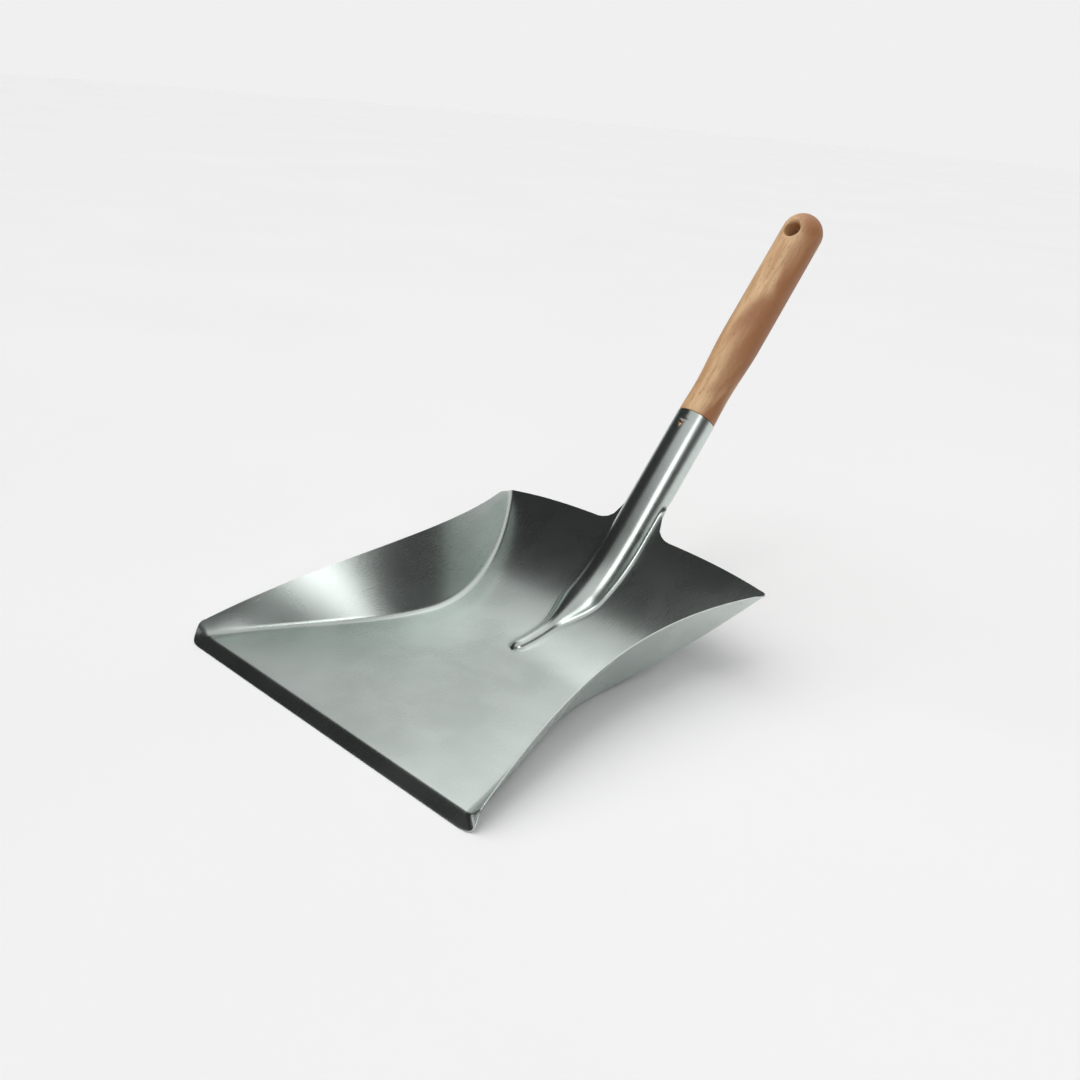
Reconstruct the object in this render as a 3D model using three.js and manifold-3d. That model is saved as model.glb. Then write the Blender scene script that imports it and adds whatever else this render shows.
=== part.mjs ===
// Hand dust pan. One steel sheet is pressed into the tray and rolled into the socket of
// its own tail, and a turned wooden handle is driven into that socket.
// Millimetres, +Z up, +X across, +Y from the front lip towards the handle.
import * as THREE from "three";
import { mergeVertices } from "three/addons/utils/BufferGeometryUtils.js";
import Module from "manifold-3d";

const wasm = await Module();
wasm.setup();
const degrees = THREE.MathUtils.degToRad;
const { lerp, clamp, smoothstep } = THREE.MathUtils;

// The sheet, and the bends that run across it. s is the way along the middle of the
// sheet, from 0 at the lip's bend, over the floor and up the back wall.
const sheetThickness = 0.6;
const floorLength = 129;
const heelRadius = 134;
const backAngle = degrees(52.8);
const lipWidth = 8;
const lipAngle = degrees(32);
const lipRadius = 5;
const backCrown = 6;
const backCrownPower = 2.8;

// The fold line of each side wall, as half widths of the sheet, and the wall beyond it.
const foldHalfFront = 111.5;
const foldHalfBack = 106.5;
const foldFrontPull = [27.9, 98];
const foldBackPull = [72.4, 126.8];
const foldRun = 3.6;
const frontWallTip = new THREE.Vector3(8.6, -6.5, 6.1);
const backWallTip = new THREE.Vector3(1.2, -2, 4.3);
const rimInwardBow = 19.7;
const rimInwardSkew = 0.4;
const rimUpwardBow = 10.2;
const rimUpwardSkew = -0.33;
const rimLead = 0.03;
const frontEdgeHalf = foldHalfFront + 10;
const frontCornerRadius = 10;
const frontFoldExit = degrees(-45);
const backCornerRadius = 9;
const backFoldExit = degrees(60);

// The stiffening rib up the middle, which grows into the half round of the socket.
const ribTip = floorLength + 8;
const ribTipLength = 7;
const ribHalfWidth = 7.5;
const ribHeight = 3.5;
const ribShoulder = [floorLength + 37, floorLength + 73];
const ribShoulderHeight = 5.5;
const ribRise = [floorLength + 63, floorLength + 119];
const ribTipRoundness = 0.5;

// The socket rolled from the tail of the sheet, whose axis lies in the back wall's plane.
const socketOuterRadius = 13;
const flankRadius = 3.5;
const neckFillet = 14;
const rollStart = 10;
const flapStart = 7;
const flapRise = 17;
const socketMouth = 90;
const seamGap = 0.8;

// The barb pressed out of the socket's wall into the wood.
const barbFromMouth = 7;
const barbWidth = 6;
const barbLength = 6.5;
const barbAngle = degrees(68);
const barbClearance = 0.4;

// The handle. a is the way along the socket's axis, from the back wall's edge.
const tenonClearance = 0.35;
const tenonLength = 44;
const shoulderGap = 0.4;
const shoulderRadius = socketOuterRadius - 0.3;
const waistRadius = socketOuterRadius - 0.8;
const waistFromMouth = 20;
const gripRadius = 13.9;
const gripFromMouth = 62;
const gripLength = 100;
const hangHoleRadius = 5.4;
const hangHoleFromEnd = 19;

// How finely the sheet is divided.
const ribSteps = [5, 3];
const floorSteps = 7;
const foldSteps = 2;
const wallSteps = 4;
const flapSteps = 6;
const tailSteps = 12;
const turnSteps = 40;

// Worked out from the sizes above.
const socketRadius = socketOuterRadius - sheetThickness / 2;
const backTop = floorLength + heelRadius * backAngle;
const flankAngle = Math.acos(flankRadius / (socketRadius + flankRadius));
const neckHalfWidth = (socketRadius + flankRadius) * Math.sin(flankAngle);
const neckArc = (socketRadius + flankRadius) * flankAngle;
const neck = backTop + backCrown + neckFillet;
const lipArc = lipRadius * lipAngle;

// A point of the bent sheet's middle line, and the angle at which the sheet climbs there.
function profile(s) {
  if (s < lipArc / 2) {
    const turned = clamp((lipArc / 2 - s) / lipRadius, 0, lipAngle);
    const beyond = Math.max(-lipArc / 2 - s, 0);
    return {
      y: lipArc / 2 - lipRadius * Math.sin(turned) - beyond * Math.cos(lipAngle),
      z: -lipRadius * (1 - Math.cos(turned)) - beyond * Math.sin(lipAngle),
      angle: turned,
    };
  }
  const turned = clamp((s - floorLength) / heelRadius, 0, backAngle);
  const beyond = Math.max(s - backTop, 0);
  return {
    y: Math.min(s, floorLength) + heelRadius * Math.sin(turned) + beyond * Math.cos(backAngle),
    z: heelRadius * (1 - Math.cos(turned)) + beyond * Math.sin(backAngle),
    angle: turned,
  };
}

// The point x across and rise above the sheet's middle line at s.
function raised(x, s, rise) {
  const at = profile(s);
  return new THREE.Vector3(x, at.y - rise * Math.sin(at.angle), at.z + rise * Math.cos(at.angle));
}

// The same, for an offset given across, along and square to the sheet.
function offsetFrom(x, s, offset) {
  const at = profile(s);
  const along = new THREE.Vector3(0, Math.cos(at.angle), Math.sin(at.angle));
  const square = new THREE.Vector3(0, -Math.sin(at.angle), Math.cos(at.angle));
  return new THREE.Vector3(x + offset.x, at.y, at.z)
    .addScaledVector(along, offset.y)
    .addScaledVector(square, offset.z);
}

// The corners of the flat sheet: the centre of each corner's arc, as x and s.
const backEdgeHalf = foldHalfBack + backWallTip.length();
const frontCorner = new THREE.Vector2(
  frontEdgeHalf - frontCornerRadius,
  frontCornerRadius - lipWidth,
);
const backCorner = new THREE.Vector2(backEdgeHalf - backCornerRadius, backTop - backCornerRadius);

function onArc(centre, radius, angle) {
  return new THREE.Vector2(
    centre.x + radius * Math.cos(angle),
    centre.y + radius * Math.sin(angle),
  );
}

const foldFront = onArc(frontCorner, frontCornerRadius, frontFoldExit);
const foldBack = onArc(backCorner, backCornerRadius, backFoldExit);
const foldCurve = new THREE.CubicBezierCurve(
  new THREE.Vector2(foldHalfFront, 0),
  new THREE.Vector2(foldHalfFront - foldFrontPull[0], foldFrontPull[1]),
  new THREE.Vector2(foldBack.x - foldBackPull[0], foldBack.y - foldBackPull[1]),
  foldBack,
);

// The half width at which a side wall's fold crosses s.
function foldHalf(s) {
  if (s < 0) return lerp(foldHalfFront, foldFront.x, s / foldFront.y);
  if (s > foldBack.y) {
    return foldBack.x + ((s - foldBack.y) * foldBackPull[0]) / foldBackPull[1];
  }
  let [low, high] = [0, 1];
  for (let i = 0; i < 40; i++) {
    const middle = (low + high) / 2;
    if (foldCurve.getPoint(middle).y < s) low = middle;
    else high = middle;
  }
  return foldCurve.getPoint(low).x;
}

// The rim of a side wall bows inwards and upwards from the line between its two ends.
function bowed(skew, t) {
  return 4 * t * (1 - t) * (1 + skew * (2 * t - 1));
}

const rimFront = offsetFrom(foldHalfFront, 0, frontWallTip);
const rimBack = offsetFrom(foldHalf(backTop), backTop, backWallTip);

function rimPoint(t) {
  const chord = new THREE.Vector3().subVectors(rimBack, rimFront);
  const up = new THREE.Vector3(0, -chord.z, chord.y).normalize();
  return rimFront
    .clone()
    .addScaledVector(chord, t)
    .addScaledVector(up, rimUpwardBow * bowed(rimUpwardSkew, t))
    .add(new THREE.Vector3(-rimInwardBow * bowed(rimInwardSkew, t), 0, 0));
}

// The straight run of the side wall that leaves the fold at s, up to the rim. The rim
// starts ahead of the lip's bend, and rimLead of it belongs to the rounded corner.
function wallRun(s) {
  const from = clamp(s, 0, backTop);
  const t = lerp(rimLead, 1, from / backTop);
  const run = rimPoint(t).sub(raised(foldHalf(from), from, 0));
  return { length: run.length(), way: run.normalize() };
}

// The half width of the rib and its height at s, before its tip is rounded off.
function ribBody(s) {
  const shoulder = smoothstep(s, ...ribShoulder);
  const rise = smoothstep(s, ...ribRise);
  return {
    half: lerp(ribHalfWidth, neckHalfWidth, shoulder),
    height: ribHeight + ribShoulderHeight * shoulder
      + (socketRadius - ribHeight - ribShoulderHeight) * rise,
    share: lerp(ribTipRoundness, socketRadius / (socketRadius + flankRadius), shoulder),
  };
}

// The two arcs of the rib's section: a round top and a hollow flank that meets the sheet.
function ribArcs({ half, height, share }) {
  const angle = 2 * Math.atan(height / half);
  const both = half / Math.sin(angle);
  return { angle, top: both * share, flank: both * (1 - share) };
}

function ribRiseAt(x, s) {
  const left = 1 - clamp((s - ribTip) / ribTipLength, 0, 1);
  const roundedOff = Math.sqrt(1 - left * left);
  const body = ribBody(s);
  const half = body.half * roundedOff;
  const height = body.height * roundedOff;
  if (x >= half) return 0;
  const { angle, top, flank } = ribArcs({ half, height, share: body.share });
  if (x < top * Math.sin(angle)) return height - top + Math.sqrt(top * top - x * x);
  return flank - Math.sqrt(flank * flank - (half - x) ** 2);
}

// A point of the pressed sheet, from its place x, s on the flat sheet's right half.
function pressed(x, s) {
  const past = x - foldHalf(s);
  if (past < -foldRun) return raised(x, s, ribRiseAt(x, s));
  const corner = raised(foldHalf(s), s, 0);
  const { way } = wallRun(s);
  if (past > foldRun) return corner.addScaledVector(way, past);
  const start = new THREE.Vector3(corner.x - foldRun, corner.y, corner.z);
  const end = corner.clone().addScaledVector(way, foldRun);
  const bend = new THREE.QuadraticBezierCurve3(start, corner, end);
  return bend.getPoint((past + foldRun) / (2 * foldRun));
}

// A point of the tail, arc across from its middle line at the way a past the back edge.
function rolled(arc, s) {
  const roll = smoothstep(s, neck, neck + rollStart);
  const straight = socketRadius * flankAngle;
  if (arc <= straight) {
    const angle = arc / socketRadius;
    return raised(socketRadius * Math.sin(angle), s, socketRadius * Math.cos(angle));
  }
  const bend = lerp(-1 / flankRadius, 1 / socketRadius, roll) || 1e-9;
  const angle = flankAngle + bend * (arc - straight);
  return raised(
    socketRadius * Math.sin(flankAngle) + (Math.sin(angle) - Math.sin(flankAngle)) / bend,
    s,
    socketRadius * Math.cos(flankAngle) + (Math.cos(angle) - Math.cos(flankAngle)) / bend,
  );
}

// The way from a to b in equal steps, without a itself.
function steps(a, b, count) {
  return Array.from({ length: count }, (_, i) => lerp(a, b, (i + 1) / count));
}

// The front and back edges of the flat sheet, as s for a half width x.
function frontEdge(x) {
  const past = clamp(x - frontCorner.x, 0, frontCornerRadius);
  return frontCorner.y - Math.sqrt(frontCornerRadius ** 2 - past ** 2);
}

function backEdge(x) {
  if (x <= neckHalfWidth) return neck;
  const crown = backCrown * (1 - Math.min(x / backCorner.x, 1) ** backCrownPower);
  const past = clamp(x - backCorner.x, 0, backCornerRadius);
  const edge = backCorner.y + crown + Math.sqrt(backCornerRadius ** 2 - past ** 2);
  const inside = neckHalfWidth + neckFillet - x;
  if (inside <= 0) return edge;
  return edge + neckFillet - Math.sqrt(neckFillet ** 2 - inside ** 2);
}

// The columns of one row of the tray: over the rib, the floor and the inner half of the fold.
function rowColumns(s) {
  const body = ribBody(s);
  const { angle, top, flank } = ribArcs(body);
  const overTop = steps(0, angle, ribSteps[0]).map((turn) => top * Math.sin(turn));
  const overFlank = steps(angle, 0, ribSteps[1]).map((turn) => body.half - flank * Math.sin(turn));
  const inner = foldHalf(s) - foldRun;
  const floor = steps(body.half, inner, floorSteps);
  return [0, ...overTop, ...overFlank, ...floor, ...steps(inner, inner + foldRun, foldSteps)];
}

// The values of s at which the rows of the tray meet the fold.
const rowPlaces = [
  foldFront.y,
  ...steps(foldFront.y, -lipArc / 2, 2),
  ...steps(-lipArc / 2, lipArc / 2, 2),
  ...steps(lipArc / 2, floorLength, 9),
  ...steps(floorLength, ribTip, 1),
  ...steps(ribTip, ribTip + ribTipLength, 3),
  ...steps(ribTip + ribTipLength, ribShoulder[1], 6),
  ...steps(ribShoulder[1], backTop - 2 * backCornerRadius, 3),
  ...steps(backTop - 2 * backCornerRadius, foldBack.y, 5),
];

// The sheet's middle surface as points and four-sided faces, right half first.
class Surface {
  constructor() {
    this.points = [];
    this.faces = [];
  }

  add(point) {
    return this.points.push(point) - 1;
  }

  addRows(rows) {
    for (let j = 1; j < rows.length; j++) {
      for (let k = 1; k < rows[j].length; k++) {
        this.faces.push([rows[j - 1][k - 1], rows[j - 1][k], rows[j][k], rows[j][k - 1]]);
      }
    }
  }
}

function trayRows(surface) {
  const frontFade = -lipArc / 2 - foldFront.y;
  const backFade = 2 * backCornerRadius;
  return rowPlaces.map((place) => {
    const nearFront = clamp(1 - (place - foldFront.y) / frontFade, 0, 1);
    const nearBack = clamp(1 - (foldBack.y - place) / backFade, 0, 1);
    return rowColumns(place).map((x) => {
      const s = place + nearFront * (frontEdge(x) - foldFront.y)
        + nearBack * (backEdge(x) - foldBack.y);
      return surface.add(pressed(x, s));
    });
  });
}

// The wall's points lie between the fold and the rim, and its two ends follow the corners.
function wallRows(surface, tray) {
  const rimStart = frontCorner.y;
  const rimEnd = backCorner.y;
  return rowPlaces.map((place, j) => {
    const fraction = (place - foldFront.y) / (foldBack.y - foldFront.y);
    const rimS = lerp(rimStart, rimEnd, fraction);
    const rimX = foldHalf(rimS) + wallRun(rimS).length;
    const width = rimX - foldHalf(rimS);
    const foldShare = Math.min(foldRun / width, 0.4);
    const shares = [...steps(0, foldShare, foldSteps), ...steps(foldShare, 1, wallSteps)];
    const row = shares.map((share) => {
      const past = share * width;
      const s = lerp(place, rimS, share);
      const front = cornerShift(share, frontCorner, frontCornerRadius, frontFoldExit);
      const back = cornerShift(share, backCorner, backCornerRadius, backFoldExit);
      const x = foldHalf(s) + past + (1 - fraction) * front.x + fraction * back.x;
      const shifted = s + (1 - fraction) * front.y + fraction * back.y;
      return surface.add(pressed(x, shifted));
    });
    return [tray[j][tray[j].length - 1], ...row];
  });
}

// How far a corner's arc stands from the straight way between its fold and its rim.
function cornerShift(share, centre, radius, exit) {
  const arc = onArc(centre, radius, exit * (1 - share));
  const fold = onArc(centre, radius, exit);
  const rim = onArc(centre, radius, 0);
  const straightS = lerp(fold.y, rim.y, share);
  const straightX = foldHalf(straightS) + share * (rim.x - foldHalf(rim.y));
  return new THREE.Vector2(arc.x - straightX, arc.y - straightS);
}

function socketRows(surface, tray) {
  const mouth = backTop + socketMouth;
  const flapLow = neck + flapStart;
  const places = [
    ...steps(neck, flapLow, 3),
    ...steps(flapLow, mouth, tailSteps),
  ];
  const straight = socketRadius * flankAngle;
  const arcs = [0, ...steps(0, straight, ribSteps[0]), ...steps(straight, neckArc, ribSteps[1])];
  const rows = places.map((s) => arcs.map((arc) => surface.add(rolled(arc, s))));
  const last = tray[tray.length - 1].slice(0, arcs.length);
  const flapArcs = steps(neckArc, Math.PI * socketRadius - seamGap / 2, flapSteps);
  const flapRows = rows.slice(2).map((row, j) => {
    const climbed = j / tailSteps;
    const flap = flapArcs.map((arc) => {
      const turn = (arc - neckArc) / (flapArcs[flapSteps - 1] - neckArc);
      const low = flapLow + flapRise * Math.sin((turn * Math.PI) / 2);
      return surface.add(rolled(arc, lerp(low, mouth, climbed)));
    });
    return [row[row.length - 1], ...flap];
  });
  return { centre: [last, ...rows], flaps: flapRows };
}

// Both halves of the middle surface as one indexed geometry.
function middleGeometry() {
  const surface = new Surface();
  const tray = trayRows(surface);
  const wall = wallRows(surface, tray);
  const socket = socketRows(surface, tray);
  surface.addRows(tray);
  surface.addRows(wall);
  surface.addRows(socket.centre);
  surface.addRows(socket.flaps);
  const half = surface.points.length;
  const positions = [];
  for (const side of [1, -1]) {
    for (const point of surface.points) positions.push(side * point.x, point.y, point.z);
  }
  const index = [];
  for (const [a, b, c, d] of surface.faces) {
    index.push(a, b, c, a, c, d);
    index.push(half + a, half + c, half + b, half + a, half + d, half + c);
  }
  const geometry = new THREE.BufferGeometry();
  geometry.setAttribute("position", new THREE.Float32BufferAttribute(positions, 3));
  geometry.setIndex(index);
  return mergeVertices(geometry, 1e-3);
}

// Gives an open surface a thickness: two skins, and a strip along each free edge.
function thickened(middle, thickness) {
  middle.computeVertexNormals();
  const place = middle.attributes.position;
  const normal = middle.attributes.normal;
  const index = middle.index.array;
  const count = place.count;
  const positions = [];
  for (const side of [0.5, -0.5]) {
    for (let i = 0; i < count; i++) {
      const point = new THREE.Vector3().fromBufferAttribute(place, i);
      const out = new THREE.Vector3().fromBufferAttribute(normal, i);
      positions.push(...point.addScaledVector(out, side * thickness).toArray());
    }
  }
  const edges = new Map();
  const faces = [];
  for (let i = 0; i < index.length; i += 3) {
    const [a, b, c] = index.slice(i, i + 3);
    faces.push(a, b, c, count + a, count + c, count + b);
    for (const [from, to] of [[a, b], [b, c], [c, a]]) edges.set(from + "," + to, [from, to]);
  }
  for (const [from, to] of edges.values()) {
    if (edges.has(to + "," + from)) continue;
    faces.push(to, from, count + from, to, count + from, count + to);
  }
  const geometry = new THREE.BufferGeometry();
  geometry.setAttribute("position", new THREE.Float32BufferAttribute(positions, 3));
  geometry.setIndex(faces);
  return geometry;
}

function solid(geometry) {
  const bare = new THREE.BufferGeometry();
  bare.setAttribute("position", geometry.attributes.position);
  bare.setIndex(geometry.index);
  const merged = mergeVertices(bare, 1e-3);
  return new wasm.Manifold(
    new wasm.Mesh({
      numProp: 3,
      vertProperties: new Float32Array(merged.attributes.position.array),
      triVerts: new Uint32Array(merged.index.array),
    }),
  );
}

function geometryOf(manifold) {
  const mesh = manifold.getMesh();
  const geometry = new THREE.BufferGeometry();
  const positions = new Float32Array(mesh.vertProperties);
  geometry.setAttribute("position", new THREE.BufferAttribute(positions, 3));
  geometry.setIndex(new THREE.BufferAttribute(new Uint32Array(mesh.triVerts), 1));
  return geometry;
}

// The socket's own frame: its Y runs along the axis, its Z square to the back wall.
const backEdgePoint = raised(0, backTop, 0);
const socketFrame = new THREE.Matrix4()
  .makeRotationX(backAngle)
  .setPosition(backEdgePoint);

// A triangle with its base towards the mouth, extruded square to the socket's wall.
function barbPrism(width, length, from, to) {
  const outline = new THREE.Shape();
  outline.moveTo(-width / 2, 0);
  outline.lineTo(0, -length);
  outline.lineTo(width / 2, 0);
  outline.closePath();
  const prism = new THREE.ExtrudeGeometry(outline, { depth: to - from, bevelEnabled: false });
  return mergeVertices(stripped(prism.translate(0, 0, from)), 1e-3);
}

function stripped(geometry) {
  geometry.deleteAttribute("normal");
  geometry.deleteAttribute("uv");
  return geometry;
}

const barbBase = socketMouth - barbFromMouth;

function barbHole() {
  const hole = barbPrism(barbWidth, barbLength, socketRadius / 2, socketRadius * 1.5);
  return hole.translate(0, barbBase, 0).applyMatrix4(socketFrame);
}

// The barb itself: the same triangle, bent about its base into the wood.
function barbTooth() {
  const half = sheetThickness / 2;
  const tooth = barbPrism(barbWidth - sheetThickness, barbLength - sheetThickness, -half, half);
  return tooth
    .rotateX(barbAngle)
    .translate(0, barbBase + half / 2, socketRadius - half)
    .applyMatrix4(socketFrame);
}

function barbPocket() {
  const depth = barbLength * Math.sin(barbAngle) + barbClearance;
  const reach = barbLength * Math.cos(barbAngle) + sheetThickness + 2 * barbClearance;
  const width = barbWidth + 2 * barbClearance;
  const pocket = new THREE.BoxGeometry(width, reach, 2 * depth);
  const middle = barbBase + sheetThickness + barbClearance - reach / 2;
  return mergeVertices(stripped(pocket.translate(0, middle, socketRadius)), 1e-3)
    .applyMatrix4(socketFrame);
}

function pressedPan() {
  return solid(thickened(middleGeometry(), sheetThickness))
    .subtract(solid(barbHole()))
    .add(solid(barbTooth()));
}

// The turned outline of the handle from the tenon's end to the rounded butt.
function handleOutline() {
  const shoulder = socketMouth + shoulderGap;
  const tenonRadius = socketOuterRadius - sheetThickness - tenonClearance;
  const tenonEnd = shoulder - tenonLength;
  const waist = new THREE.Vector2(waistRadius, socketMouth + waistFromMouth);
  const grip = new THREE.Vector2(gripRadius, socketMouth + gripFromMouth);
  const buttCentre = grip.y + gripLength - gripRadius;
  const swell = [0.25, 0.5, 0.75, 1].map((t) => {
    return new THREE.Vector2(lerp(waist.x, grip.x, smoothstep(t, 0, 1)), lerp(waist.y, grip.y, t));
  });
  const butt = steps(0, Math.PI / 2, 8).map((turn) => {
    return new THREE.Vector2(gripRadius * Math.cos(turn), buttCentre + gripRadius * Math.sin(turn));
  });
  butt[butt.length - 1].x = 0;
  return [
    new THREE.Vector2(0, tenonEnd),
    new THREE.Vector2(tenonRadius - 1, tenonEnd),
    new THREE.Vector2(tenonRadius, tenonEnd + 1),
    new THREE.Vector2(tenonRadius, shoulder),
    new THREE.Vector2(shoulderRadius, shoulder),
    waist,
    ...swell,
    new THREE.Vector2(gripRadius, buttCentre),
    ...butt,
  ];
}

function turnedHandle() {
  const turned = new THREE.LatheGeometry(handleOutline(), turnSteps);
  const end = socketMouth + gripFromMouth + gripLength;
  const hole = new THREE.CylinderGeometry(hangHoleRadius, hangHoleRadius, 4 * gripRadius, turnSteps);
  hole.rotateX(Math.PI / 2).translate(0, end - hangHoleFromEnd, 0);
  return solid(mergeVertices(stripped(turned), 1e-3).applyMatrix4(socketFrame))
    .subtract(solid(mergeVertices(stripped(hole), 1e-3).applyMatrix4(socketFrame)))
    .subtract(solid(barbPocket()));
}

// At rest the pan stands on the lip's edge and on the heel, so its floor slopes a little.
function restingTilt() {
  const lip = raised(0, -lipWidth, -sheetThickness / 2);
  const towards = new THREE.Vector2(floorLength - lip.y, heelRadius - lip.z);
  const outside = heelRadius + sheetThickness / 2;
  return towards.angle() - Math.asin(outside / towards.length());
}

const steel = new THREE.MeshStandardMaterial({ color: 0x9aa19e, roughness: 0.32, metalness: 1 });
const beech = new THREE.MeshStandardMaterial({ color: 0xc39a6b, roughness: 0.55, metalness: 0 });

const group = new THREE.Group();
const pieces = [
  ["pan", pressedPan(), steel],
  ["handle", turnedHandle(), beech],
];
for (const [name, piece, material] of pieces) {
  const mesh = new THREE.Mesh(geometryOf(piece), material);
  mesh.name = name;
  group.add(mesh);
}

// The origin is under the middle of the object's box, on the surface that it stands on.
group.rotation.x = -restingTilt();
const box = new THREE.Box3().setFromObject(group, true);
group.position.set(0, -(box.min.y + box.max.y) / 2, -box.min.z);

export default group;
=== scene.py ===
"""Looks of the hand dust pan: one pressed sheet of galvanised steel and a turned beech handle."""

import functools
import math

import bpy
from mathutils import Matrix, Vector


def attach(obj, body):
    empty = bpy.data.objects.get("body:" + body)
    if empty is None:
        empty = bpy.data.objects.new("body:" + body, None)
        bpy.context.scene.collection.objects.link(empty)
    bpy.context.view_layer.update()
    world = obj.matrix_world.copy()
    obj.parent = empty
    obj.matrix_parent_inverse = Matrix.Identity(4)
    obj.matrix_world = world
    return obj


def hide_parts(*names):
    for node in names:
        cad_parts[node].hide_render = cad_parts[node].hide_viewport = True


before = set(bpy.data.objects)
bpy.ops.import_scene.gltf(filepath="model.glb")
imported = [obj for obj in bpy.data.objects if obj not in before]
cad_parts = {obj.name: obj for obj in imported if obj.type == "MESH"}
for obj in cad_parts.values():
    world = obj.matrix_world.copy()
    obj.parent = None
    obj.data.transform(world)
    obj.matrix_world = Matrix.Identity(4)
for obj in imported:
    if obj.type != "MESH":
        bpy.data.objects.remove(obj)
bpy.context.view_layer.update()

# Sizes of the pan in millimetres. s is the way along the middle of the sheet, from 0 at
# the lip's bend, over the floor and up the back wall.
SHEET = 0.6
FLOOR = 129
HEEL_RADIUS = 134
BACK_ANGLE = math.radians(52.8)
LIP_WIDTH = 8
LIP_ANGLE = math.radians(32)
LIP_RADIUS = 5
BACK_CROWN = 6
BACK_CROWN_POWER = 2.8

# The side walls: their fold lines as half widths of the flat sheet, and their rims.
FOLD_FRONT = 111.5
FOLD_BACK = 106.5
FOLD_FRONT_PULL = (27.9, 98)
FOLD_BACK_PULL = (72.4, 126.8)
FOLD_RUN = 3.6
FRONT_TIP = Vector((8.6, -6.5, 6.1))
BACK_TIP = Vector((1.2, -2, 4.3))
RIM_IN, RIM_IN_SKEW = 19.7, 0.4
RIM_UP, RIM_UP_SKEW = 10.2, -0.33
RIM_LEAD = 0.03
FRONT_HALF = 121.5
FRONT_CORNER = 10
FRONT_EXIT = math.radians(-45)
BACK_CORNER = 9
BACK_EXIT = math.radians(60)

# The rib up the middle, which grows into the half round of the socket.
RIB_TIP, RIB_TIP_LENGTH = 137, 7
RIB_HALF, RIB_HEIGHT = 7.5, 3.5
RIB_SHOULDER, RIB_SHOULDER_HEIGHT = (166, 202), 5.5
RIB_RISE = (192, 248)
RIB_TIP_ROUNDNESS = 0.5

# The socket rolled from the tail of the sheet, and the barb pressed out of its wall.
SOCKET_OUTSIDE = 13
FLANK = 3.5
NECK_FILLET = 14
ROLL_START = 10
FLAP_START, FLAP_RISE = 7, 17
MOUTH = 90
SEAM_GAP = 0.8
BARB_FROM_MOUTH, BARB_WIDTH, BARB_LENGTH = 7, 6, 6.5
BARB_ANGLE = math.radians(68)

# The handle, along the socket's axis from the back wall's edge.
TENON_CLEARANCE, TENON_LENGTH = 0.35, 44
SHOULDER_GAP, SHOULDER_RADIUS = 0.4, 12.7
WAIST_RADIUS, WAIST_FROM_MOUTH = 12.2, 20
GRIP_RADIUS, GRIP_FROM_MOUTH, GRIP_LENGTH = 13.9, 62, 100
HOLE_RADIUS, HOLE_FROM_END = 5.4, 19
# The chamfer at the tenon's end, and how far below the shoulder its last straight ring is.
TENON_CHAMFER, TENON_LAST_RING = 1, 0.6
# The small flat that closes the butt, and the room round the barb in its pocket.
BUTT_TIP_RADIUS, BARB_CLEARANCE = 0.25, 0.4
# The shoulder's rounded edge: how far inside its radius, and above its face, each ring is.
SHOULDER_EDGE = ((0.5, 0.02), (0.1, 0.25), (0, 0.7))
# The hang hole's mouth: how much wider it is, and how far from the axis, ring by ring.
HOLE_FLARE = ((0.0, 11.6), (0.12, 12.2), (0.4, 12.8), (0.9, 13.3), (1.7, 13.75), (2.9, 14.2))

SOCKET = SOCKET_OUTSIDE - SHEET / 2
BACK_TOP = FLOOR + HEEL_RADIUS * BACK_ANGLE
FLANK_ANGLE = math.acos(FLANK / (SOCKET + FLANK))
NECK_HALF = (SOCKET + FLANK) * math.sin(FLANK_ANGLE)
NECK_ARC = (SOCKET + FLANK) * FLANK_ANGLE
NECK = BACK_TOP + BACK_CROWN + NECK_FILLET
LIP_ARC = LIP_RADIUS * LIP_ANGLE
BACK_HALF = FOLD_BACK + BACK_TIP.length

# How the pan stands: tilted until the lip's edge and the heel both touch the ground, then
# moved so that the ground is at zero and the pan is in the middle of its box.
STANDING_TILT = -0.0305798
STANDING_SHIFT = (0, -196.821, 4.3068)
STANDING = Matrix.Translation(STANDING_SHIFT) @ Matrix.Rotation(STANDING_TILT, 4, "X")
MM_PER_METRE = 1000
PLACE = Matrix.Scale(1 / MM_PER_METRE, 4) @ STANDING


def lerp(a, b, t):
    return a + (b - a) * t


def clamp(value, low, high):
    return max(low, min(high, value))


def smoothstep(value, low, high):
    t = clamp((value - low) / (high - low), 0, 1)
    return t * t * (3 - 2 * t)


def steps(a, b, count):
    """The way from a to b in equal steps, without a itself."""
    return [lerp(a, b, (i + 1) / count) for i in range(count)]


# ---- The bent sheet -------------------------------------------------------------------

def profile(s):
    """A point of the sheet's middle line, and the angle at which it climbs there."""
    if s < LIP_ARC / 2:
        turned = clamp((LIP_ARC / 2 - s) / LIP_RADIUS, 0, LIP_ANGLE)
        beyond = max(-LIP_ARC / 2 - s, 0)
        y = LIP_ARC / 2 - LIP_RADIUS * math.sin(turned) - beyond * math.cos(LIP_ANGLE)
        z = -LIP_RADIUS * (1 - math.cos(turned)) - beyond * math.sin(LIP_ANGLE)
        return y, z, turned
    turned = clamp((s - FLOOR) / HEEL_RADIUS, 0, BACK_ANGLE)
    beyond = max(s - BACK_TOP, 0)
    y = min(s, FLOOR) + HEEL_RADIUS * math.sin(turned) + beyond * math.cos(BACK_ANGLE)
    z = HEEL_RADIUS * (1 - math.cos(turned)) + beyond * math.sin(BACK_ANGLE)
    return y, z, turned


def raised(x, s, rise=0):
    y, z, angle = profile(s)
    return Vector((x, y - rise * math.sin(angle), z + rise * math.cos(angle)))


def offset_from(x, s, offset):
    y, z, angle = profile(s)
    along = Vector((0, math.cos(angle), math.sin(angle)))
    square = Vector((0, -math.sin(angle), math.cos(angle)))
    return Vector((x + offset.x, y, z)) + offset.y * along + offset.z * square


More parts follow.
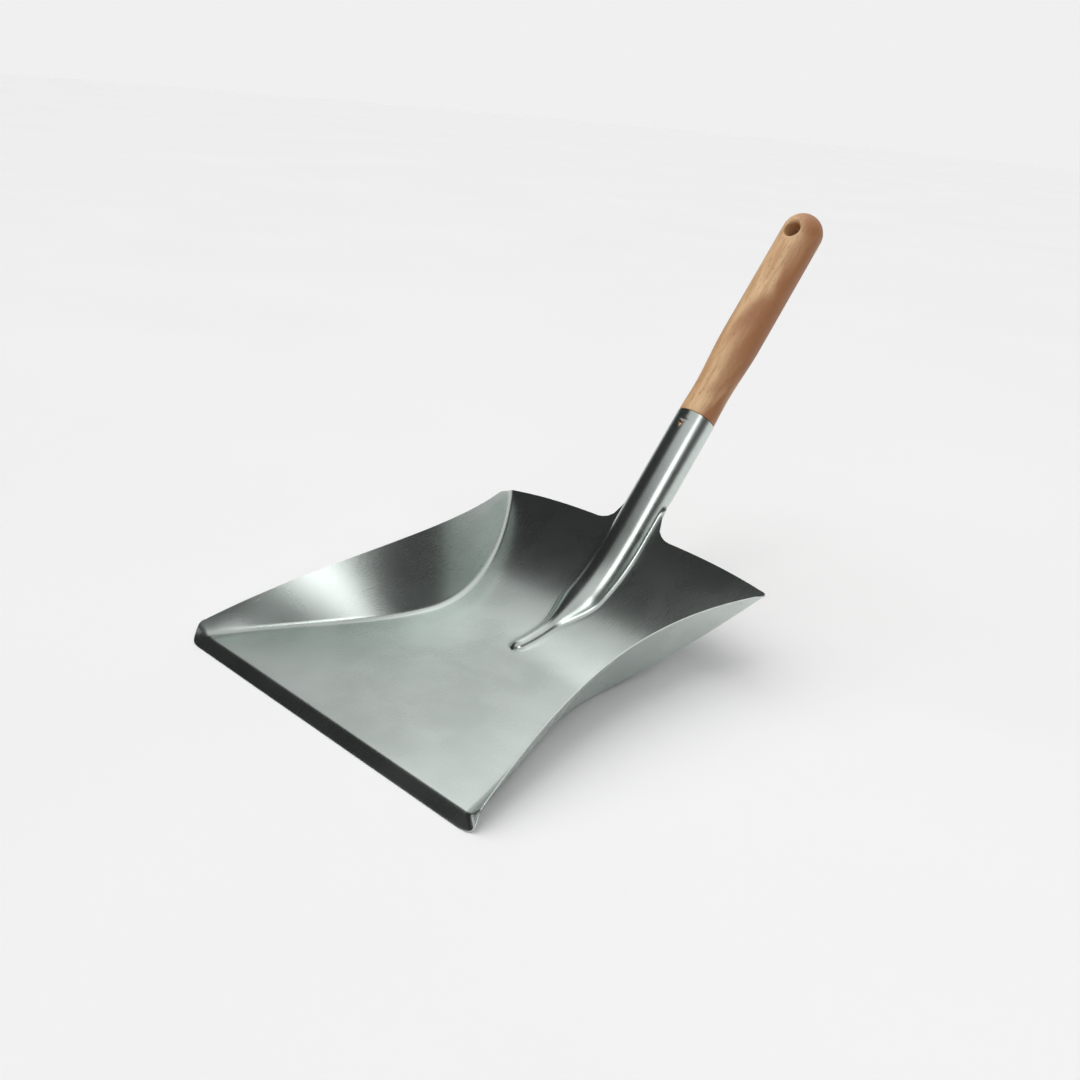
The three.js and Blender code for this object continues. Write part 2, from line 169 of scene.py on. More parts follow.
def on_arc(centre, radius, angle):
    return Vector((centre.x + radius * math.cos(angle), centre.y + radius * math.sin(angle)))


front_centre = Vector((FRONT_HALF - FRONT_CORNER, FRONT_CORNER - LIP_WIDTH))
back_centre = Vector((BACK_HALF - BACK_CORNER, BACK_TOP - BACK_CORNER))
fold_front = on_arc(front_centre, FRONT_CORNER, FRONT_EXIT)
fold_back = on_arc(back_centre, BACK_CORNER, BACK_EXIT)
fold_knots = (
    Vector((FOLD_FRONT, 0)),
    Vector((FOLD_FRONT - FOLD_FRONT_PULL[0], FOLD_FRONT_PULL[1])),
    fold_back - Vector(FOLD_BACK_PULL),
    fold_back,
)


def fold_point(t):
    a, b, c, d = fold_knots
    u = 1 - t
    return u * u * u * a + 3 * u * u * t * b + 3 * u * t * t * c + t * t * t * d


# Halvings of the fold's curve, enough to find a place on it far below a micrometre.
HALVINGS = 30


@functools.lru_cache(None)
def fold_half(s):
    """The half width at which a side wall's fold crosses s."""
    if s < 0:
        return lerp(FOLD_FRONT, fold_front.x, s / fold_front.y)
    if s > fold_back.y:
        return fold_back.x + (s - fold_back.y) * FOLD_BACK_PULL[0] / FOLD_BACK_PULL[1]
    low, high = 0.0, 1.0
    for _ in range(HALVINGS):
        middle = (low + high) / 2
        if fold_point(middle).y < s:
            low = middle
        else:
            high = middle
    return fold_point(low).x


def bowed(skew, t):
    return 4 * t * (1 - t) * (1 + skew * (2 * t - 1))


rim_front = offset_from(FOLD_FRONT, 0, FRONT_TIP)
rim_back = offset_from(fold_half(BACK_TOP), BACK_TOP, BACK_TIP)


def rim_point(t):
    chord = rim_back - rim_front
    up = Vector((0, -chord.z, chord.y)).normalized()
    inwards = Vector((-RIM_IN * bowed(RIM_IN_SKEW, t), 0, 0))
    return rim_front + chord * t + up * (RIM_UP * bowed(RIM_UP_SKEW, t)) + inwards


@functools.lru_cache(None)
def wall_run(s):
    """The straight run of the side wall that leaves the fold at s: its way and length."""
    start = clamp(s, 0, BACK_TOP)
    t = lerp(RIM_LEAD, 1, start / BACK_TOP)
    run = rim_point(t) - raised(fold_half(start), start)
    return run.normalized(), run.length


def rib_body(s):
    shoulder = smoothstep(s, *RIB_SHOULDER)
    rise = smoothstep(s, *RIB_RISE)
    half = lerp(RIB_HALF, NECK_HALF, shoulder)
    height = (RIB_HEIGHT + RIB_SHOULDER_HEIGHT * shoulder
              + (SOCKET - RIB_HEIGHT - RIB_SHOULDER_HEIGHT) * rise)
    share = lerp(RIB_TIP_ROUNDNESS, SOCKET / (SOCKET + FLANK), shoulder)
    return half, height, share


def rib_arcs(half, height, share):
    """The two arcs of the rib's section: a round top and a hollow flank."""
    angle = 2 * math.atan(height / half)
    both = half / math.sin(angle)
    return angle, both * share, both * (1 - share)


def rib_rise(x, s):
    left = 1 - clamp((s - RIB_TIP) / RIB_TIP_LENGTH, 0, 1)
    rounded = math.sqrt(max(1 - left * left, 0))
    half, height, share = rib_body(s)
    half, height = half * rounded, height * rounded
    if x >= half:
        return 0
    angle, top, flank = rib_arcs(half, height, share)
    if x < top * math.sin(angle):
        return height - top + math.sqrt(top * top - x * x)
    return flank - math.sqrt(max(flank * flank - (half - x) ** 2, 0))


def pressed(x, s):
    """A point of the pressed sheet, from its place on the flat sheet's right half."""
    past = x - fold_half(s)
    if past < -FOLD_RUN:
        return raised(x, s, rib_rise(x, s))
    corner = raised(fold_half(s), s)
    way, _ = wall_run(s)
    if past > FOLD_RUN:
        return corner + way * past
    t = (past + FOLD_RUN) / (2 * FOLD_RUN)
    start = corner - Vector((FOLD_RUN, 0, 0))
    end = corner + way * FOLD_RUN
    return start * (1 - t) ** 2 + corner * (2 * t * (1 - t)) + end * (t * t)


# A bend that stands for none at all, because the sheet's bend is divided by.
ALMOST_STRAIGHT = 1e-9


def rolled(arc, s):
    """A point of the tail, arc across from its middle line."""
    roll = smoothstep(s, NECK, NECK + ROLL_START)
    straight = SOCKET * FLANK_ANGLE
    if arc <= straight:
        angle = arc / SOCKET
        return raised(SOCKET * math.sin(angle), s, SOCKET * math.cos(angle))
    bend = lerp(-1 / FLANK, 1 / SOCKET, roll) or ALMOST_STRAIGHT
    angle = FLANK_ANGLE + bend * (arc - straight)
    x = SOCKET * math.sin(FLANK_ANGLE) + (math.sin(angle) - math.sin(FLANK_ANGLE)) / bend
    rise = SOCKET * math.cos(FLANK_ANGLE) + (math.cos(angle) - math.cos(FLANK_ANGLE)) / bend
    return raised(x, s, rise)


def front_edge(x):
    past = clamp(x - front_centre.x, 0, FRONT_CORNER)
    return front_centre.y - math.sqrt(FRONT_CORNER ** 2 - past ** 2)


def back_edge(x):
    if x <= NECK_HALF:
        return NECK
    crown = BACK_CROWN * (1 - min(x / back_centre.x, 1) ** BACK_CROWN_POWER)
    past = clamp(x - back_centre.x, 0, BACK_CORNER)
    edge = back_centre.y + crown + math.sqrt(BACK_CORNER ** 2 - past ** 2)
    inside = NECK_HALF + NECK_FILLET - x
    if inside <= 0:
        return edge
    return edge + NECK_FILLET - math.sqrt(NECK_FILLET ** 2 - inside ** 2)


# ---- The flat sheet, divided into blocks of four-sided faces ----------------------------

RIB_STEPS = (12, 8)
FLOOR_STEPS, FOLD_STEPS, WALL_STEPS = 26, 7, 16
NECK_STEPS, FLAP_STEPS, TAIL_STEPS = 8, 20, 36
# The fold takes at most this share of a side wall's width, where the wall is narrow.
MOST_FOLD_SHARE = 0.4
# Where the rows' spacing changes on the way from the front corner's fold to the back
# corner's, and how many rows lead up to each of these places.
ROW_STATIONS = (
    (-LIP_ARC / 2, 5),
    (LIP_ARC / 2, 8),
    (FLOOR, 30),
    (RIB_TIP, 4),
    (RIB_TIP + RIB_TIP_LENGTH, 12),
    (RIB_SHOULDER[1], 26),
    (BACK_TOP - 2 * BACK_CORNER, 14),
    (fold_back.y, 12),
)


def placed_rows():
    places = [fold_front.y]
    start = fold_front.y
    for station, count in ROW_STATIONS:
        places += steps(start, station, count)
        start = station
    return places


row_places = placed_rows()


def row_columns(s):
    half, height, share = rib_body(s)
    angle, top, flank = rib_arcs(half, height, share)
    over_top = [top * math.sin(turn) for turn in steps(0, angle, RIB_STEPS[0])]
    over_flank = [half - flank * math.sin(turn) for turn in steps(angle, 0, RIB_STEPS[1])]
    inner = fold_half(s) - FOLD_RUN
    return [0, *over_top, *over_flank, *steps(half, inner, FLOOR_STEPS),
            *steps(inner, inner + FOLD_RUN, FOLD_STEPS)]


def tray_rows():
    front_fade = -LIP_ARC / 2 - fold_front.y
    rows = []
    for place in row_places:
        near_front = clamp(1 - (place - fold_front.y) / front_fade, 0, 1)
        near_back = clamp(1 - (fold_back.y - place) / (2 * BACK_CORNER), 0, 1)
        row = []
        for x in row_columns(place):
            s = (place + near_front * (front_edge(x) - fold_front.y)
                 + near_back * (back_edge(x) - fold_back.y))
            row.append((pressed(x, s), x, s))
        rows.append(row)
    return rows


def corner_shift(share, centre, radius, leaving):
    """How far a corner's arc stands from the straight way between its fold and its rim."""
    arc = on_arc(centre, radius, leaving * (1 - share))
    fold = on_arc(centre, radius, leaving)
    rim = on_arc(centre, radius, 0)
    s = lerp(fold.y, rim.y, share)
    x = fold_half(s) + share * (rim.x - fold_half(rim.y))
    return Vector((arc.x - x, arc.y - s))


def wall_rows(tray):
    rows = []
    for j, place in enumerate(row_places):
        fraction = (place - fold_front.y) / (fold_back.y - fold_front.y)
        rim_s = lerp(front_centre.y, back_centre.y, fraction)
        width = wall_run(rim_s)[1]
        fold_share = min(FOLD_RUN / width, MOST_FOLD_SHARE)
        row = [tray[j][-1]]
        for share in [*steps(0, fold_share, FOLD_STEPS), *steps(fold_share, 1, WALL_STEPS)]:
            s = lerp(place, rim_s, share)
            front = corner_shift(share, front_centre, FRONT_CORNER, FRONT_EXIT) * (1 - fraction)
            back = corner_shift(share, back_centre, BACK_CORNER, BACK_EXIT) * fraction
            x = fold_half(s) + share * width + front.x + back.x
            row.append((pressed(x, s + front.y + back.y), x, s + front.y + back.y))
        rows.append(row)
    return rows


def socket_rows(tray):
    """The tail's middle strip, and the flaps that close round the wood."""
    mouth = BACK_TOP + MOUTH
    flap_low = NECK + FLAP_START
    places = [*steps(NECK, flap_low, NECK_STEPS), *steps(flap_low, mouth, TAIL_STEPS)]
    straight = SOCKET * FLANK_ANGLE
    arcs = [0, *steps(0, straight, RIB_STEPS[0]), *steps(straight, NECK_ARC, RIB_STEPS[1])]
    strip = [tray[-1][:len(arcs)]]
    strip += [[(rolled(arc, s), arc, s) for arc in arcs] for s in places]
    flap_arcs = steps(NECK_ARC, math.pi * SOCKET - SEAM_GAP / 2, FLAP_STEPS)
    flaps = []
    for j, row in enumerate(strip[NECK_STEPS:]):
        flap = [row[-1]]
        for arc in flap_arcs:
            turn = (arc - NECK_ARC) / (flap_arcs[-1] - NECK_ARC)
            low = flap_low + FLAP_RISE * math.sin(turn * math.pi / 2)
            s = lerp(low, mouth, j / TAIL_STEPS)
            flap.append((rolled(arc, s), arc, s))
        flaps.append(flap)
    return strip, flaps


# ---- Modelling helpers --------------------------------------------------------------------

def nothing_selected():
    if bpy.context.object and bpy.context.object.mode != "OBJECT":
        bpy.ops.object.mode_set(mode="OBJECT")
    bpy.ops.object.select_all(action="DESELECT")


def only(piece):
    nothing_selected()
    piece.select_set(True)
    bpy.context.view_layer.objects.active = piece


def edit(piece):
    only(piece)
    bpy.ops.object.mode_set(mode="EDIT")
    bpy.ops.mesh.select_all(action="SELECT")


def modified(piece, kind, **settings):
    only(piece)
    modifier = piece.modifiers.new(kind.title(), kind)
    for name, value in settings.items():
        setattr(modifier, name, value)
    bpy.ops.object.modifier_apply(modifier=modifier.name)


def joined(pieces):
    only(pieces[0])
    for piece in pieces:
        piece.select_set(True)
    bpy.ops.object.join()
    return bpy.context.object


def pressed_block(rows):
    """A flat grid pressed into shape. Its UV map keeps each point's place on the sheet."""
    nothing_selected()
    across, along = len(rows[0]) - 1, len(rows) - 1
    bpy.ops.mesh.primitive_grid_add(x_subdivisions=across, y_subdivisions=along, size=1)
    block = bpy.context.object
    mesh = block.data
    flat = []
    for vertex in mesh.vertices:
        k = round((vertex.co.x + 0.5) * across)
        j = round((vertex.co.y + 0.5) * along)
        point, x, s = rows[j][k]
        vertex.co = PLACE @ point
        flat.append((x / MM_PER_METRE, s / MM_PER_METRE))
    layer = mesh.uv_layers.active.data
    for loop in mesh.loops:
        layer[loop.index].uv = flat[loop.vertex_index]
    return block


def ringed(name, rings, vertices, centre_line):
    """A round body drawn up from a disc ring by ring; rings are radius and height."""
    nothing_selected()
    radius, height = rings[0]
    bpy.ops.mesh.primitive_circle_add(
        vertices=vertices, radius=radius, fill_type="NGON", location=(0, 0, height))
    body = bpy.context.object
    body.name = body.data.name = name
    edit(body)
    for wider, higher in rings[1:]:
        bpy.ops.mesh.extrude_region_move(
            TRANSFORM_OT_translate={"value": (0, 0, higher - height)})
        bpy.ops.transform.resize(value=(wider / radius, wider / radius, 1))
        radius, height = wider, higher
    bpy.ops.mesh.select_all(action="SELECT")
    bpy.ops.mesh.normals_make_consistent(inside=False)
    only(body)
    bpy.ops.object.transform_apply(location=True, rotation=True, scale=True)
    body.data.transform(centre_line)
    return body


def cut(piece, cutter):
    modified(piece, "BOOLEAN", operation="DIFFERENCE", object=cutter, solver="EXACT")
    bpy.data.objects.remove(cutter)


# ---- The pan --------------------------------------------------------------------------------

# The socket's own frame: Y along its axis, Z square to the back wall.
SOCKET_FRAME = Matrix.Translation(raised(0, BACK_TOP)) @ Matrix.Rotation(BACK_ANGLE, 4, "X")
# The same, turned so that Z runs along the axis, for bodies drawn up from a disc.
AXIS_FRAME = SOCKET_FRAME @ Matrix.Rotation(math.radians(-90), 4, "X")
BARB_BASE = MOUTH - BARB_FROM_MOUTH

# Points closer than these are one point, and sharp edges are rounded this far, in metres.
MIRROR_MERGE, SEAM_MERGE = 1e-6, 2e-6
EDGE_ROUNDING = 0.00014
# Edges sharper than the first are rounded, and edges softer than the others look smooth.
SHARP_EDGE = math.radians(50)
PAN_SMOOTHING, HANDLE_SMOOTHING = math.radians(40), math.radians(32)
# How much rougher the sheet's cut edge is than its faces.
CUT_EDGE_ROUGHER = 0.12


def barb_prism(width, length, low, high):
    """A triangle with its base across the socket and its point towards the pan."""
    nothing_selected()
    bpy.ops.mesh.primitive_cylinder_add(vertices=3, radius=1, depth=high - low)
    prism = bpy.context.object
    lowest = min(vertex.co.y for vertex in prism.data.vertices)
    highest = max(vertex.co.y for vertex in prism.data.vertices)
    widest = max(vertex.co.x for vertex in prism.data.vertices)
    for vertex in prism.data.vertices:
        share = (vertex.co.y - lowest) / (highest - lowest)
        vertex.co.x *= width / 2 / widest
        vertex.co.y = -length * share
        vertex.co.z += (low + high) / 2
    edit(prism)
    bpy.ops.mesh.normals_make_consistent(inside=False)
    nothing_selected()
    return prism


def barb_hole():
    hole = barb_prism(BARB_WIDTH, BARB_LENGTH, SOCKET / 2, SOCKET * 1.5)
    hole.data.transform(PLACE @ SOCKET_FRAME @ Matrix.Translation((0, BARB_BASE, 0)))
    return hole


def barb_tooth():
    half = SHEET / 2
    tooth = barb_prism(BARB_WIDTH - SHEET, BARB_LENGTH - SHEET, -half, half)
    bent = (Matrix.Translation((0, BARB_BASE + half / 2, SOCKET - half))
            @ Matrix.Rotation(BARB_ANGLE, 4, "X"))
    tooth.data.transform(PLACE @ SOCKET_FRAME @ bent)
    return tooth


def mirrored_uv(mesh):
    """The left half lies on the flat sheet's other side, so its pattern differs."""
    layer = mesh.uv_layers.active.data
    for polygon in mesh.polygons:
        if polygon.center.x < 0:
            for index in polygon.loop_indices:
                layer[index].uv.x = -layer[index].uv.x


def make_pan():
    tray = tray_rows()
    strip, flaps = socket_rows(tray)
    blocks = [pressed_block(rows) for rows in (tray, wall_rows(tray), strip, flaps)]
    pan = joined(blocks)
    pan.name = pan.data.name = "pressed_pan"
    modified(pan, "MIRROR", use_axis=(True, False, False), use_clip=True,
             merge_threshold=MIRROR_MERGE)
    edit(pan)
    bpy.ops.mesh.remove_doubles(threshold=SEAM_MERGE)
    nothing_selected()
    mirrored_uv(pan.data)
    pan.data.materials.append(galvanised_steel("galvanised_sheet"))
    pan.data.materials.append(galvanised_steel("cut_edge", CUT_EDGE_ROUGHER))
    modified(pan, "SOLIDIFY", thickness=SHEET / MM_PER_METRE, offset=0,
             use_even_offset=False, use_quality_normals=True, material_offset_rim=1)
    cut(pan, barb_hole())
    tooth = barb_tooth()
    pan = joined([pan, tooth])
    modified(pan, "BEVEL", width=EDGE_ROUNDING, segments=2, limit_method="ANGLE",
             angle_limit=SHARP_EDGE)
    only(pan)
    bpy.ops.object.shade_smooth_by_angle(angle=PAN_SMOOTHING)
    return pan


# ---- The handle -------------------------------------------------------------------------------

WAIST_STEPS, SWELL_STEPS, GRIP_STEPS, BUTT_STEPS = 8, 16, 30, 20
HANDLE_SIDES, HOLE_SIDES = 112, 64


def handle_rings():
    """The turned outline from the tenon's end to the rounded butt: radius and height."""
    shoulder = MOUTH + SHOULDER_GAP
    tenon = SOCKET_OUTSIDE - SHEET - TENON_CLEARANCE
    low = shoulder - TENON_LENGTH
    waist = MOUTH + WAIST_FROM_MOUTH
    grip = MOUTH + GRIP_FROM_MOUTH
    butt = grip + GRIP_LENGTH - GRIP_RADIUS
    rings = [(tenon - TENON_CHAMFER, low), (tenon, low + TENON_CHAMFER),
             (tenon, shoulder - TENON_LAST_RING), (tenon, shoulder)]
    rings += [(SHOULDER_RADIUS - inside, shoulder + above) for inside, above in SHOULDER_EDGE]
    edge_top = rings[-1][1]
    for t in steps(0, 1, WAIST_STEPS):
        radius = lerp(SHOULDER_RADIUS, WAIST_RADIUS, smoothstep(t, 0, 1))
        rings.append((radius, lerp(edge_top, waist, t)))
    for t in steps(0, 1, SWELL_STEPS):
        radius = lerp(WAIST_RADIUS, GRIP_RADIUS, smoothstep(t, 0, 1))
        rings.append((radius, lerp(waist, grip, t)))
    rings += [(GRIP_RADIUS, z) for z in steps(grip, butt, GRIP_STEPS)]
    for turn in steps(0, math.pi / 2, BUTT_STEPS)[:-1]:
        rings.append((GRIP_RADIUS * math.cos(turn), butt + GRIP_RADIUS * math.sin(turn)))
    rings.append((BUTT_TIP_RADIUS, butt + GRIP_RADIUS))
    return rings


def hang_hole():
    """A straight hole whose two mouths flare, as a sanded edge does."""
    rings = [(HOLE_RADIUS + wider, -away) for wider, away in reversed(HOLE_FLARE)]
    rings += [(HOLE_RADIUS + wider, away) for wider, away in HOLE_FLARE]
    end = MOUTH + GRIP_FROM_MOUTH + GRIP_LENGTH
    across = SOCKET_FRAME @ Matrix.Translation((0, end - HOLE_FROM_END, 0))
    return ringed("hole", rings, HOLE_SIDES, PLACE @ across)


def barb_pocket():
    depth = BARB_LENGTH * math.sin(BARB_ANGLE) + BARB_CLEARANCE
    reach = BARB_LENGTH * math.cos(BARB_ANGLE) + SHEET + 2 * BARB_CLEARANCE
    nothing_selected()
    bpy.ops.mesh.primitive_cube_add(size=1)
    pocket = bpy.context.object
    sized = Matrix.Diagonal((BARB_WIDTH + 2 * BARB_CLEARANCE, reach, 2 * depth, 1))
    middle = Matrix.Translation((0, BARB_BASE + SHEET + BARB_CLEARANCE - reach / 2, SOCKET))
    pocket.data.transform(PLACE @ SOCKET_FRAME @ middle @ sized)
    return pocket


def make_handle():
    handle = ringed("turned_handle", handle_rings(), HANDLE_SIDES, PLACE @ AXIS_FRAME)
    cut(handle, hang_hole())
    cut(handle, barb_pocket())
    handle.data.materials.append(beech("beech"))
    only(handle)
    bpy.ops.object.shade_smooth_by_angle(angle=HANDLE_SMOOTHING)
    return handle


# ---- Finishes -----------------------------------------------------------------------------------

class Value:
    """A number socket that adds Math nodes when it is used in an expression."""

    def __init__(self, finish, socket):
        self.finish = finish
        self.socket = socket

    def maths(self, operation, other, swapped=False):
        sides = (other, self) if swapped else (self, other)
        node = self.finish.node("ShaderNodeMath", {"operation": operation},
                                {0: sides[0], 1: sides[1]})
        return Value(self.finish, node.outputs[0])

    def __add__(self, other):
        return self.maths("ADD", other)

    def __radd__(self, other):
        return self.maths("ADD", other, True)

    def __sub__(self, other):
        return self.maths("SUBTRACT", other)

    def __rsub__(self, other):
        return self.maths("SUBTRACT", other, True)

    def __mul__(self, other):
        return self.maths("MULTIPLY", other)

    def __rmul__(self, other):
        return self.maths("MULTIPLY", other, True)


class Finish:
    """A material, or the world, whose nodes are made one by one."""

    def __init__(self, owner):
        owner.use_nodes = True
        self.tree = owner.node_tree
        self.tree.nodes.clear()

    def node(self, kind, settings=None, sockets=None):
        node = self.tree.nodes.new(kind)
        for name, value in (settings or {}).items():
            setattr(node, name, value)
        for name, value in (sockets or {}).items():
            if isinstance(value, Value):
                value = value.socket
            if isinstance(value, bpy.types.NodeSocket):
                self.tree.links.new(value, node.inputs[name])
            else:
                node.inputs[name].default_value = value
        return node

    def value(self, kind, settings=None, sockets=None):
        return Value(self, self.node(kind, settings, sockets).outputs[0])

    def mapped(self, vector, **settings):
        """A vector scaled, and moved or turned, by a Mapping node."""
        kind = settings.pop("kind", "POINT")
        return self.node("ShaderNodeMapping", {"vector_type": kind},
                         {"Vector": vector, **settings}).outputs[0]

    def noise(self, vector, scale, detail=2.0, roughness=0.5, distortion=0.0):
        return self.value("ShaderNodeTexNoise", None, {
            "Vector": vector, "Scale": scale, "Detail": detail,
            "Roughness": roughness, "Distortion": distortion})

    def ranged(self, value, low, high, to_low=0.0, to_high=1.0):
        return self.value("ShaderNodeMapRange", {"interpolation_type": "SMOOTHSTEP"}, {
            0: value, 1: low, 2: high, 3: to_low, 4: to_high})

    def mixed(self, factor, a, b):
        mix = self.node("ShaderNodeMix", {"data_type": "RGBA"}, {0: factor, 6: a, 7: b})
        return mix.outputs[2]

    def bumped(self, height, distance, strength=1.0):
        return self.node("ShaderNodeBump", None, {
            "Height": height, "Distance": distance, "Strength": strength}).outputs[0]

    def surface(self, **sockets):
        names = {name.replace("_", " "): value for name, value in sockets.items()}
        shader = self.node("ShaderNodeBsdfPrincipled", None, names)
        self.node("ShaderNodeOutputMaterial", None, {"Surface": shader.outputs[0]})


def colour(red, green, blue):
    return (red, green, blue, 1)


def galvanised_steel(name, rougher=0.0):
    """Rolled zinc: fine lines along the sheet, a little grain, and clouding and waves."""
    material = bpy.data.materials.new(name)
    finish = Finish(material)
    flat = finish.node("ShaderNodeTexCoord").outputs["UV"]
    lines = finish.noise(finish.mapped(flat, Scale=(2600, 45, 1)), 1.0, 3.0, 0.6)
    grain = finish.noise(flat, 1500.0, 2.0, 0.6)
    clouds = finish.noise(flat, 24.0, 2.0, 0.5, 0.4)
    waves = finish.noise(flat, 9.0, 1.0, 0.4)
    mottle = clouds * 0.82 + grain * 0.08 + lines * 0.1
    shade = finish.ranged(mottle, 0.3, 0.7)
    dull, bright = colour(0.57, 0.625, 0.595), colour(0.66, 0.72, 0.69)
    tint = finish.mixed(shade, dull, bright)
    rough = 0.22 + rougher + lines * 0.03 + clouds * 0.08
    finish.surface(Base_Color=tint, Metallic=1.0, Roughness=rough,
                   Normal=finish.bumped(waves, 0.0004, 0.3))
    return material


def beech(name):
    """Beech: soft growth figure, a red-brown stain and painted shade to one side, dark flecks, thin
    lacquer.
    """
    material = bpy.data.materials.new(name)
    finish = Finish(material)
    place = finish.node("ShaderNodeTexCoord").outputs["Object"]
    centre_line = STANDING @ AXIS_FRAME
    log = finish.mapped(place, kind="TEXTURE",
                        Location=[v / MM_PER_METRE for v in centre_line.translation],
                        Rotation=centre_line.to_euler("XYZ")[:])
    figure = finish.noise(finish.mapped(log, Scale=(70, 70, 9)), 1.0, 3.0, 0.55, 1.2)
    stain = finish.noise(finish.mapped(log, Scale=(45, 45, 14)), 1.0, 2.0, 0.5, 0.6)
    fibres = finish.noise(finish.mapped(log, Scale=(900, 900, 40)), 1.0, 3.0, 0.6)
    pores = finish.noise(finish.mapped(log, Scale=(1500, 1500, 220)), 1.0, 1.0, 0.4)
    flecks = finish.ranged(pores, 0.6, 0.72)
    rings = finish.ranged(figure * 0.7 + fibres * 0.3, 0.36, 0.62)
    pale = finish.mixed(rings, colour(0.5, 0.275, 0.125), colour(0.72, 0.475, 0.26))
    # The red-brown is stain patches of the wood plus painted shade: it grows across the handle, so
    # one side is darker.
    across = finish.value("ShaderNodeSeparateXYZ", None, {0: log})
    stain_and_painted_shade = finish.ranged(stain + across * 14.0, 0.46, 0.72, 0.0, 0.9)
    warm = finish.mixed(stain_and_painted_shade, pale, colour(0.32, 0.12, 0.04))
    tint = finish.mixed(flecks * 0.45, warm, colour(0.2, 0.09, 0.04))
    height = fibres * 0.5 - flecks * 0.6
    finish.surface(Base_Color=tint, Roughness=0.48 + fibres * 0.1, Coat_Weight=0.12,
                   Coat_Roughness=0.3, Normal=finish.bumped(height, 0.00006, 0.6))
    return material


def pale_board(name):
    material = bpy.data.materials.new(name)
    finish = Finish(material)
    place = finish.node("ShaderNodeTexCoord").outputs["Object"]
    tone = finish.noise(place, 3.0, 2.0)
    tint = finish.mixed(tone, colour(0.86, 0.86, 0.86), colour(0.9, 0.9, 0.9))
    finish.surface(Base_Color=tint, Roughness=0.85)
    return material


# ---- The studio ------------------------------------------------------------------------------------

GROUND_RADIUS, GROUND_SIDES = 9, 96
# The room's dim glow all round, its grey as the camera sees it, and the ways in which its
# backdrop and its front light lie.
ROOM_GLOW, ROOM_SEEN = 0.03, 0.87
BACKDROP_WAY = (-0.259, 0.966, 0.0)
FILL_WAY = (0.32, -0.557, 0.766)

# Lamps look at this point. Their places and sizes are in metres.
LAMP_TARGET = Vector((0, 0, 0.05))
SUN_SPREAD = math.radians(75)
SUNS = (
    ("left_daylight", (-1.0, -0.7, 2.2), 2.0),
    ("right_daylight", (1.0, -0.5, 1.6), 1.2),
)
# Name, place, size, power, and whether the panel hangs level.
PANELS = (
    ("top_panel", (-0.1, 0.45, 0.62), (1.04, 0.74), 1.85, True),
    ("front_panel", (0.12, -0.12, 0.62), (0.6, 0.4), 0.45, True),
    ("side_panel", (0.454, -0.12, 0.38), (0.15, 0.28), 0.43, False),
)

# The camera in the flat pan's own frame, in millimetres and degrees. It turns about Z,
# then about its own turned Y, then about its own turned X.
CAMERA_SENSOR, CAMERA_LENS = 36, 38.888
CAMERA_PLACE = (427.09, -328.01, 306.46)
CAMERA_TURNS = ((43.945, "Z"), (-6.0183, "Y"), (69.4641, "X"))


def studio_floor():
    nothing_selected()
    bpy.ops.mesh.primitive_circle_add(
        vertices=GROUND_SIDES, radius=GROUND_RADIUS, fill_type="NGON")
    floor = bpy.context.object
    floor.name = floor.data.name = "studio_floor"
    floor.data.materials.append(pale_board("pale_board"))


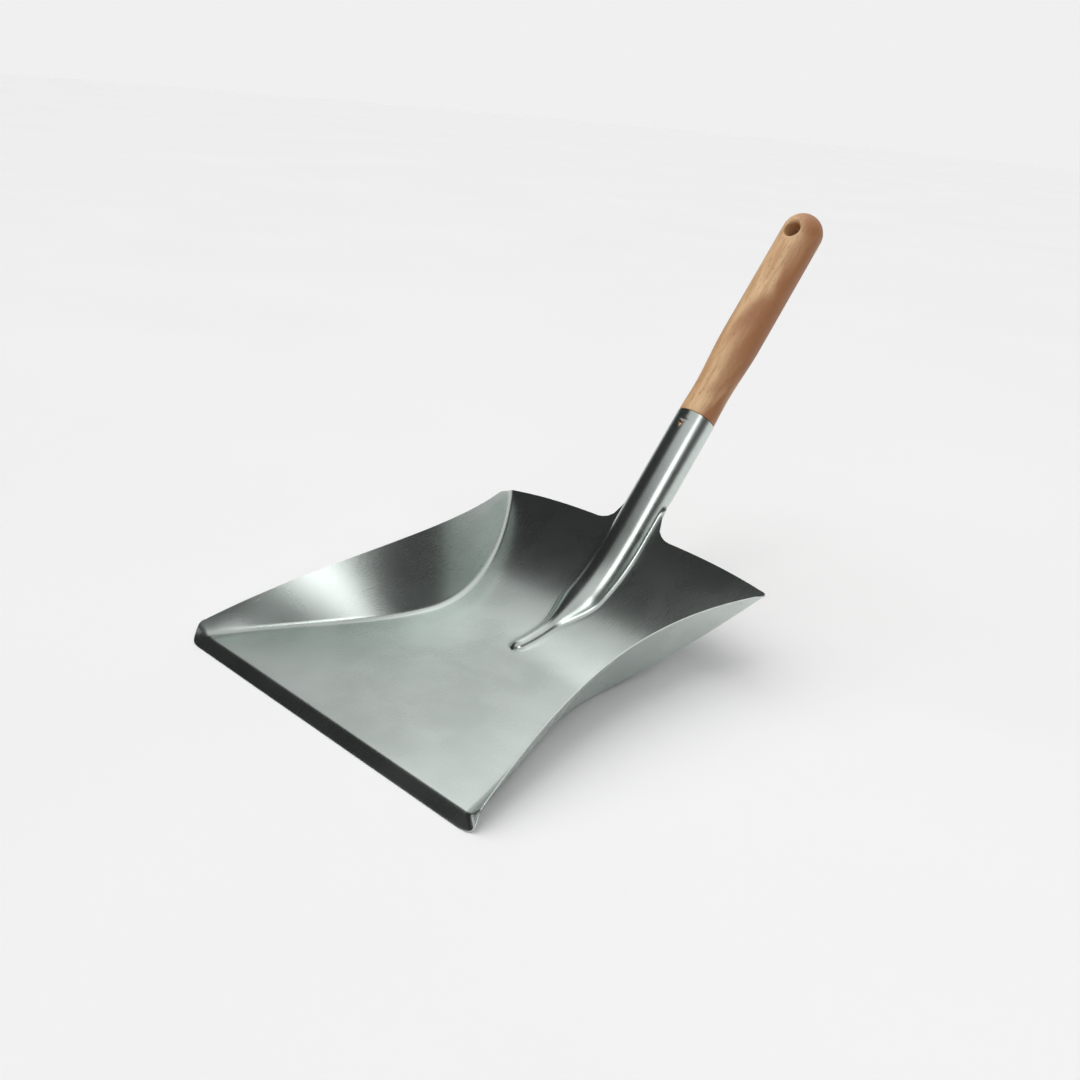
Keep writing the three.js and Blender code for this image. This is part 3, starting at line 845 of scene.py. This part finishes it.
def studio_sky():
    """A dark room with a lit backdrop behind the handle and a little light from the front.

    Seen straight on by the camera the room is the same pale grey as the floor."""
    world = bpy.data.worlds.new("studio")
    bpy.context.scene.world = world
    sky = Finish(world)
    towards = sky.node("ShaderNodeTexCoord").outputs["Generated"]
    parts = sky.node("ShaderNodeSeparateXYZ", None, {0: towards}).outputs
    x, y, z = (Value(sky, part) for part in parts)

    def facing(way):
        return x * way[0] + y * way[1] + z * way[2]

    backdrop = sky.ranged(facing(BACKDROP_WAY), 0.4, 0.7, 0.0, 0.55)
    fill = sky.ranged(facing(FILL_WAY), 0.77, 0.97, 0.0, 0.16)
    room = backdrop + fill + ROOM_GLOW
    seen = Value(sky, sky.node("ShaderNodeLightPath").outputs["Is Camera Ray"])
    strength = room * (1 - seen) + seen * ROOM_SEEN
    light = sky.node("ShaderNodeBackground", None, {
        "Color": colour(1.0, 1.0, 1.0), "Strength": strength})
    sky.node("ShaderNodeOutputWorld", None, {"Surface": light.outputs[0]})


def lamp(name, kind, place, **settings):
    """A lamp at a place in metres, turned to the lamps' target."""
    data = bpy.data.lights.new(name, kind)
    for setting, value in settings.items():
        setattr(data, setting, value)
    light = bpy.data.objects.new(name, data)
    bpy.context.collection.objects.link(light)
    light.location = place
    towards = LAMP_TARGET - Vector(place)
    light.rotation_euler = towards.to_track_quat("-Z", "Y").to_euler()
    return light


def studio_lamps():
    """Two wide soft suns light every matt surface; the panels are only mirrored in the metal."""
    for name, place, energy in SUNS:
        sun = lamp(name, "SUN", place, energy=energy, angle=SUN_SPREAD)
        sun.visible_glossy = False
    for name, place, (wide, deep), energy, level in PANELS:
        panel = lamp(name, "AREA", place, shape="RECTANGLE", size=wide, size_y=deep,
                     energy=energy)
        if level:
            panel.rotation_euler = (0, 0, 0)
        panel.visible_diffuse = False
        panel.visible_camera = False


def camera():
    """The camera stands with the pan, so it is tilted and moved as the pan is."""
    data = bpy.data.cameras.new("camera")
    data.sensor_width = CAMERA_SENSOR
    data.lens = CAMERA_LENS
    view = bpy.data.objects.new("camera", data)
    bpy.context.collection.objects.link(view)
    turned = Matrix.Identity(4)
    for angle, axis in CAMERA_TURNS:
        turned @= Matrix.Rotation(math.radians(angle), 4, axis)
    posed = STANDING @ Matrix.Translation(CAMERA_PLACE) @ turned
    place, turn, _ = posed.decompose()
    view.location = place / MM_PER_METRE
    view.rotation_euler = turn.to_euler()
    bpy.context.scene.camera = view


camera()
pan = make_pan()
handle = make_handle()
for piece, node, slot in ((pan, "pan", "galvanised_sheet"), (handle, "handle", "beech")):
    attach(piece, "root")
    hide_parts(node)
studio_floor()
studio_sky()
studio_lamps()
bpy.context.scene.view_settings.view_transform = "Standard"
